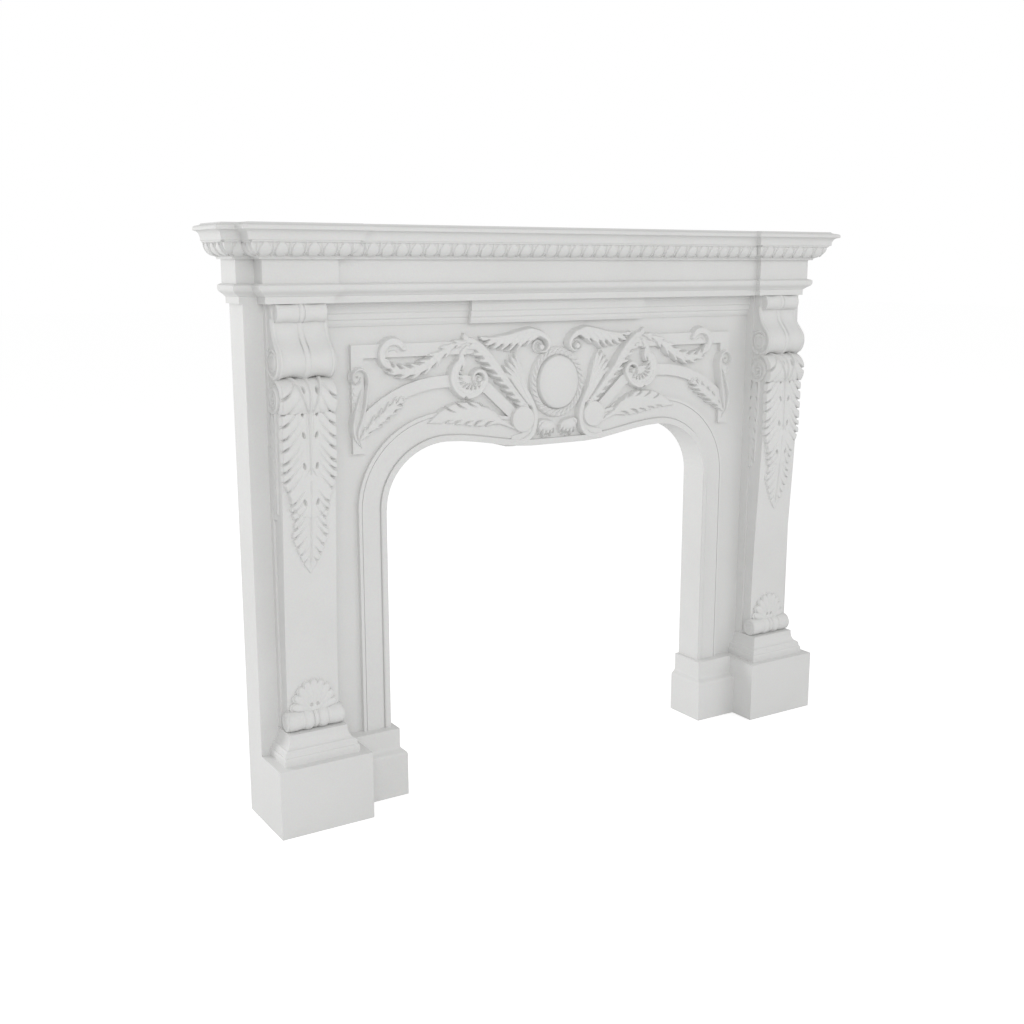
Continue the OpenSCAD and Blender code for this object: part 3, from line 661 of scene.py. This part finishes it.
def draw_front_leaf(f):
    """Acanthus leaf that turns over the head roll and hangs down the shaft."""
    end = HEAD_S[0][-1]
    low = s_at(LEAF_TIP)
    f.blade([(0, end), (0, s_at(726))], [(0, 61.5), (0.86, 61.5), (1, 46)],
            [(0, 2), (0.09, 8), (0.18, 13), (1, 12.5)], edge=0.7)
    f.blade([(0, s_at(756)), (0, low)],
            [(0, 46), (0.28, 45), (0.42, 36), (0.58, 42), (0.75, 29), (0.88, 18), (1, 2)],
            [(0, 12), (0.4, 9), (0.75, 6.5), (1, 3)], edge=0.6)
    tips = [(z, LEAF_REACH) for z in (931, 899, 874, 847, 824, 797, 779, 759, 734)]
    tips += [(711, 47), (694, 46), (676, 42), (656, 43), (638, 43), (618, 36), (600, 28), (584, 19)]
    for z, reach in tips:
        for side in (-1, 1):
            size = reach / LEAF_REACH
            line = [(side * reach * part, s_at(z + rise * size))
                    for part, rise in ((1, 0), (0.83, 4), (0.66, 13), (0.44, 30), (0.25, 48))]
            f.cut(line, [(0, 7 * size), (0.5, 6 * size), (1, 3 * size)], [(0, 1.6), (0.5, 1.0), (1, 0.2)])
            f.cut(line, [(0, 3.2), (0.3, 2.2), (1, 1.2)], [(0, 18), (0.2, 13), (0.34, 3), (1, 0.3)])
    for side in (-1, 1):
        f.blade([(side * 36, end), (side * 23, s_at(950)), (side * 6, s_at(913))],
                [(0, 6), (0.6, 6), (1, 4)], [(0, 4), (0.3, 12), (0.55, 18), (1, 17)], edge=0.6)
        f.blade([(side * 7, s_at(908)), (side * 7, s_at(778))], [(0, 4), (1, 3.6)], [(0, 14.6), (1, 14)],
                edge=0.7)
        f.blade([(0, s_at(792)), (side * 9, s_at(777)), (side * 20, s_at(762))],
                [(0, 4), (0.6, 4.4), (1, 2)], [(0, 15), (1, 13)], edge=0.6)
    f.blade([(0, end), (0, s_at(776))], [(0, 6), (0.7, 5.5), (1, 4.5)],
            [(0, 4), (0.12, 12), (0.22, 17.5), (1, 16)], edge=0.6)
    f.blade([(0, s_at(760)), (0, low)], [(0, 5), (0.8, 3.4), (1, 1)], [(0, 15), (0.5, 12), (1, 7)],
            edge=0.6)
    for side in (-1, 1):
        for z, x, turn in ((947, 15, 0.15), (903, 16, 0.1), (857, 14, 0.3), (793, 14, 0.2),
                           (716, 14, 0.3)):
            f.drill(side * x, s_at(z), 2.6, 6.2, 11, turn=-side * turn)


def draw_shaft_side(f):
    """On the side of a pilaster, x is the depth and z the height: volute and half leaf."""
    f.volute(ROLL_D, ROLL_Z, 32, 9, -150, 450, 5.5, 3.4, 5, 5)
    f.dome(ROLL_D, ROLL_Z, 30, 30, 2.5, edge=0.8)
    f.drill(ROLL_D + 2, ROLL_Z - 7, 6, 2.2, 5)
    f.leaf([(104, 905), (103, 840), (100, 760), (96, 681)], [(0, 12), (0.2, 16), (0.8, 13), (1, 4)],
           [(0, 5), (0.6, 6), (1, 3)], 8, tilt=28, notch=0.4, rib=2.0)
    f.blade([(119, 902), (117, 800), (112, 690)], [(0, 3), (0.5, 3.6), (1, 1.5)], [(0, 5), (1, 4)])
    f.drill(109, 683, 5, 1.8, 5)


def draw_shell(f):
    """Scallop shell above the foot roll; z runs from the roll's middle."""
    for i in range(9):
        a = math.radians(10 + 20 * i)
        c, s = math.cos(a), math.sin(a)
        f.blade([(8 * c, 16 + 8 * s), (28 * c, 20 + 34 * s), (45 * c, 20 + 60 * s)],
                [(0, 4), (0.5, 8), (0.88, 10.5), (1, 9)], [(0, 9), (0.7, 11), (1, 9.5)], edge=0.62)
    f.dome(0, 22, 20, 10, 10)
    for side in (-1, 1):
        f.drill(side * 7, 32, 2.8, 3.4, 10)


def lathe_x(x0, depth, z, profile, sides=40):
    """A closed turned shape about a line along X. profile: (x, radius) pairs."""
    a = np.linspace(0, 2 * math.pi, sides, endpoint=False)
    rings = [np.stack([np.full(sides, x0 + x), depth + r * np.cos(a), z + r * np.sin(a)], 1)
             for x, r in profile]
    points = np.vstack(rings + [[[x0 + profile[0][0], depth, z], [x0 + profile[-1][0], depth, z]]])
    faces = []
    n = len(profile)
    for j in range(n - 1):
        for i in range(sides):
            k = (i + 1) % sides
            faces.append((j * sides + i, (j + 1) * sides + i, (j + 1) * sides + k, j * sides + k))
    first, last = n * sides, n * sides + 1
    for i in range(sides):
        k = (i + 1) % sides
        faces.append((first, i, k))
        faces.append((last, (n - 1) * sides + k, (n - 1) * sides + i))
    return to_scene(points), faces


def barrel(half, mid, end, steps=8):
    """Profile of a bulging bead, from -half to half."""
    t = np.linspace(-1, 1, 2 * steps + 1)
    return [(half * v, end + (mid - end) * math.sqrt(max(0, 1 - v * v))) for v in t]


def place_side(x, outward):
    """Lays a side field: its x is depth, its height goes out along X."""
    def place(d, z, h):
        return to_scene(np.stack([x + outward * h, d, z], -1))
    return place


front_leaf = Field(-67, 67, s_at(LEAF_TIP - 8), HEAD_S[0][-1] - 1, STEP)
draw_front_leaf(front_leaf)
shaft_side = Field(74, 158, 672, 984, STEP)
draw_shaft_side(shaft_side)
shell = Field(-62, 62, 4, 100, STEP)
draw_shell(shell)
foot_end = Field(FOOT_D - 24, FOOT_D + 24, FOOT_Z - 24, FOOT_Z + 24, 1.0)
foot_end.dome(FOOT_D, FOOT_Z, 21.5, 21.5, 2.0, edge=0.6)
foot_end.volute(FOOT_D, FOOT_Z, 18, 5, 60, 620, 2.8, 2.0, 3.2, 2.6)


def place_shell(side):
    """Lays the shell on the swelling front of a shaft; its z runs from the foot roll."""
    def place(x, z, h):
        high = FOOT_Z + z
        return to_scene(np.stack([side * (PILASTER_X + x), shaft_depth(high) + h, high], -1))
    return place


def on_both_sides(f, side, half):
    """A side field on the outer and the inner side of what stands at a pilaster."""
    return [turned(f.mesh(place_side(side * (PILASTER_X + way * half), side * way)), side * way < 0)
            for way in (1, -1)]


for side, word in ((-1, "left"), (1, "right")):
    add_piece("pilaster_leaf_" + word,
              turned(front_leaf.mesh(place_on(HEAD, PILASTER_X, side)), side < 0))
    add_piece("shell_" + word, turned(shell.mesh(place_shell(side)), side < 0))
    for where, part in zip(("outer", "inner"), on_both_sides(shaft_side, side, SHAFT_HALF)):
        add_piece("pilaster_side_%s_%s" % (word, where), part)
    beads = [lathe_x(side * PILASTER_X + x, FOOT_D, FOOT_Z, barrel(half, mid, end))
             for x, half, mid, end in FOOT_BEADS]
    add_piece("foot_roll_" + word, *beads, *on_both_sides(foot_end, side, FOOT_HALF))

# ---------------------------------------------------------------- consoles

CONSOLE_HALF = 60.5     # half width of a console
LOW_R = 36.0            # roll at a console's foot
LOW_D, LOW_Z = 117.0, CONSOLE_Z + LOW_R
TOP_D, TOP_Z = 112.0, LEG_TOP - 18.0    # middle of the roll at its top
NECK_D, NECK_Z = 114.0, LEG_TOP - 32.0  # its front just under that roll
RIB = 8.0               # width left for the ribs beside a flute
FLUTE = 5.0             # depth of the flutes
MID_BEAD = 6.5          # half width of the rounded middle rib
RIM_BEAD = 3.6          # half width of the beads at the two edges
RIM_IN = 4.2            # middle of those beads, in from the edge
TAIL_R = 28.0           # the rim on its side, where it winds round the lower scroll
BOSS_R = 20.5           # boss inside that scroll
SCORE_R = 12.0          # line scored on the boss
SIDE_RISE = 3.2         # how far the carving on its side stands out


def console_front(inset):
    """Front outline of the console, bottom to neck, set in by inset."""
    a = np.radians(np.linspace(-90, 0, 16))
    r = LOW_R - inset
    lower = np.stack([LOW_D + r * np.cos(a), LOW_Z + r * np.sin(a)], 1)
    p = np.array([(LOW_D + r, LOW_Z + 2), (LOW_D + r, LOW_Z + 32), (NECK_D + 1 - inset, LOW_Z + 34),
                  (NECK_D - inset, NECK_Z)])
    t = np.linspace(0, 1, 20)[:, None]
    u = 1 - t
    upper = u ** 3 * p[0] + 3 * u ** 2 * t * p[1] + 3 * u * t * t * p[2] + t ** 3 * p[3]
    return np.vstack([lower, upper])


def flute_liner(middle):
    """Two hollow flutes and a rounded middle rib, laid on the console's front."""
    s, d, z, nd, nz = spine_of(console_front(FLUTE), 2.0)
    across = []
    low, high = RIB - 0.5, CONSOLE_HALF - RIB + 0.5
    for part in ((-high, -low), (low, high)):
        x = np.linspace(part[0], part[1], 17)
        c, half = (part[0] + part[1]) / 2, (part[1] - part[0]) / 2
        across.append((x, 0.4 + (FLUTE - 0.3) * np.abs((x - c) / half) ** 2.2))
    x = np.linspace(-MID_BEAD, MID_BEAD, 13)
    across.append((x, FLUTE - 0.6 + 3.0 * np.sqrt(np.clip(1 - (x / MID_BEAD) ** 2, 0, 1))))
    for side in (-1, 1):
        x = np.linspace(-RIM_BEAD, RIM_BEAD, 9)
        bead = 2.0 * np.sqrt(np.clip(1 - (x / RIM_BEAD) ** 2, 0, 1))
        across.append((side * (CONSOLE_HALF - RIM_IN) + x, FLUTE - 0.6 + bead))
    parts = []
    for x, h in across:
        grid = np.stack([np.broadcast_to(middle + x[None, :], (len(s), len(x))),
                         d[:, None] + nd[:, None] * h[None, :], z[:, None] + nz[:, None] * h[None, :]],
                        -1)
        rows, cols = len(s), len(x)
        faces = [(i * cols + j, i * cols + j + 1, (i + 1) * cols + j + 1, (i + 1) * cols + j)
                 for i in range(rows - 1) for j in range(cols - 1)]
        parts.append((to_scene(grid.reshape(-1, 3)), faces))
    return parts


def draw_console_side(f):
    """On the side of a console: a rim along its front that winds into the lower scroll."""
    outline = console_front(4.5)
    rim = outline[outline[:, 1] > CONSOLE_Z + 3]
    tail = arc(LOW_D - 5, LOW_Z - 3, TAIL_R, range(-100, -330, -20))
    f.blade(rim, [(0, 4.5), (1, 3.5)], [(0, SIDE_RISE), (1, 3)], edge=0.5, smooth=False)
    f.blade(tail, [(0, 4.5), (1, 3.0)], [(0, SIDE_RISE), (1, 3)], edge=0.5, smooth=False)
    f.dome(LOW_D - 3, LOW_Z - 1, BOSS_R, BOSS_R, SIDE_RISE, edge=0.7)
    f.score([(LOW_D - 4 + SCORE_R * math.cos(a / 2), LOW_Z - 1 + SCORE_R * math.sin(a / 2))
             for a in range(0, 11)], 1.5, 1.5)


console_side = Field(88, 158, CONSOLE_Z - 1, NECK_Z + 8, 1.1)
draw_console_side(console_side)
waist = [(x, 18.2 + 2.6 * ((x - 31) / 24) ** 2) for x in np.linspace(6, 55, 21)]
for side, word in ((-1, "left"), (1, "right")):
    at = (side * PILASTER_X, TOP_D, TOP_Z)
    rolls = [lathe_x(*at, [(way * x, r) for x, r in waist][::way]) for way in (-1, 1)]
    add_piece("console_front_" + word, *flute_liner(side * PILASTER_X))
    add_piece("console_roll_" + word, lathe_x(*at, barrel(7, 21.5, 17)), *rolls,
              *on_both_sides(console_side, side, CONSOLE_HALF))

# ---------------------------------------------------------------- egg and dart

SHELF_Z = edge("shelf", 0, 2)
END_X = 787.0           # bare face at the mantel's ends, from the middle
BAY_IN, BAY_OUT = 583.5, 748.5                          # the bays that stand out over the pilasters
MID_DEPTH, BAY_DEPTH, END_DEPTH = 117.0, 132.0, 86.0    # bare faces, out from the wall
EGG_IN = 20.0           # where the eggs sit, out from the bare face
EGG_HALF, EGG_TALL = 13.0, 17.5                         # half width and half height of an egg
EGG_RISE = 4.2          # how far an egg stands out
BAND_RISE = 6.2         # the same for the plain band over the eggs
LONE_GAP = 34.3         # spacing taken for a run of one egg
SPARE = 36.0            # how far a run's field goes past its ends, to be mitred
OVOLO = np.array([(13 + 20 * math.cos(math.radians(a)), SHELF_Z + 33 + 24 * math.sin(math.radians(a)))
                  for a in range(-90, 1, 5)] + [(33, SHELF_Z + 36.6)])
OVOLO_S = spine_of(OVOLO, 1.0)


def draw_eggs(f, centres, low, high):
    """Broad eggs with a dart between each pair, along a run from low to high."""
    top = OVOLO_S[0][-1]
    gap = centres[1] - centres[0] if len(centres) > 1 else LONE_GAP
    for x in centres:
        f.dome(x, top * 0.46, EGG_HALF, EGG_TALL, EGG_RISE, edge=0.66)
    for x in [centres[0] - gap / 2] + [x + gap / 2 for x in centres]:
        f.blade([(x, 1), (x, top * 0.6), (x, top - 4)], [(0, 1.4), (0.5, 1.9), (1, 2.4)],
                [(0, 2.6), (1, 3.4)], edge=0.7)
    f.blade([(low, top - 1.4), (high, top - 1.4)], [(0, 3.2), (1, 3.2)],
            [(0, BAND_RISE), (1, BAND_RISE)], edge=0.5, smooth=False)


def egg_run(x0, x1, count, origin, along, out, mitre0, mitre1, mirrored):
    """One straight run. x0 and x1 are where the run meets its neighbours on the bare face;
    mitre0 and mitre1 are 1 for an outside corner, -1 for an inside one and 0 for a wall."""
    a, b = x0 - mitre0 * EGG_IN, x1 + mitre1 * EGG_IN
    centres = [a + (b - a) * (i + 0.5) / count for i in range(count)]
    f = Field(x0 - SPARE, x1 + SPARE, 0, OVOLO_S[0][-1], 1.35)
    draw_eggs(f, centres, x0 - SPARE, x1 + SPARE)
    s, d, z, nd, nz = OVOLO_S
    off = np.interp(f.z, s, d)[:, None]
    gx = f.x[None, :]
    inside = (gx > x0 - mitre0 * off - 1.4) & (gx < x1 + mitre1 * off + 1.4)
    f.h = np.where(inside, f.h, -SUNK)

    def place(x, at, h):
        o = np.interp(at, s, d) + np.interp(at, s, nd) * h
        x = np.clip(x, x0 - mitre0 * o, x1 + mitre1 * o)
        zz = np.interp(at, s, z) + np.interp(at, s, nz) * h
        px = origin[0] + along[0] * x + out[0] * o
        pd = origin[1] + along[1] * x + out[1] * o
        return to_scene(np.stack([px, pd, zz], -1))
    return turned(f.mesh(place), mirrored)


add_piece("egg_and_dart_middle",
          egg_run(-BAY_IN, BAY_IN, 33, (0, MID_DEPTH), (1, 0), (0, 1), -1, -1, False))
for side, word in ((-1, "left"), (1, "right")):
    left = side < 0
    add_piece("egg_and_dart_" + word,
              egg_run(BAY_IN, BAY_OUT, 6, (0, BAY_DEPTH), (side, 0), (0, 1), 1, 1, left),
              egg_run(BAY_OUT, END_X, 1, (0, END_DEPTH), (side, 0), (0, 1), -1, 1, left),
              egg_run(0, END_DEPTH, 3, (side * END_X, 0), (0, 1), (side, 0), 0, 1, not left),
              egg_run(END_DEPTH, BAY_DEPTH, 1, (side * BAY_OUT, 0), (0, 1), (side, 0), -1, 1, not left))
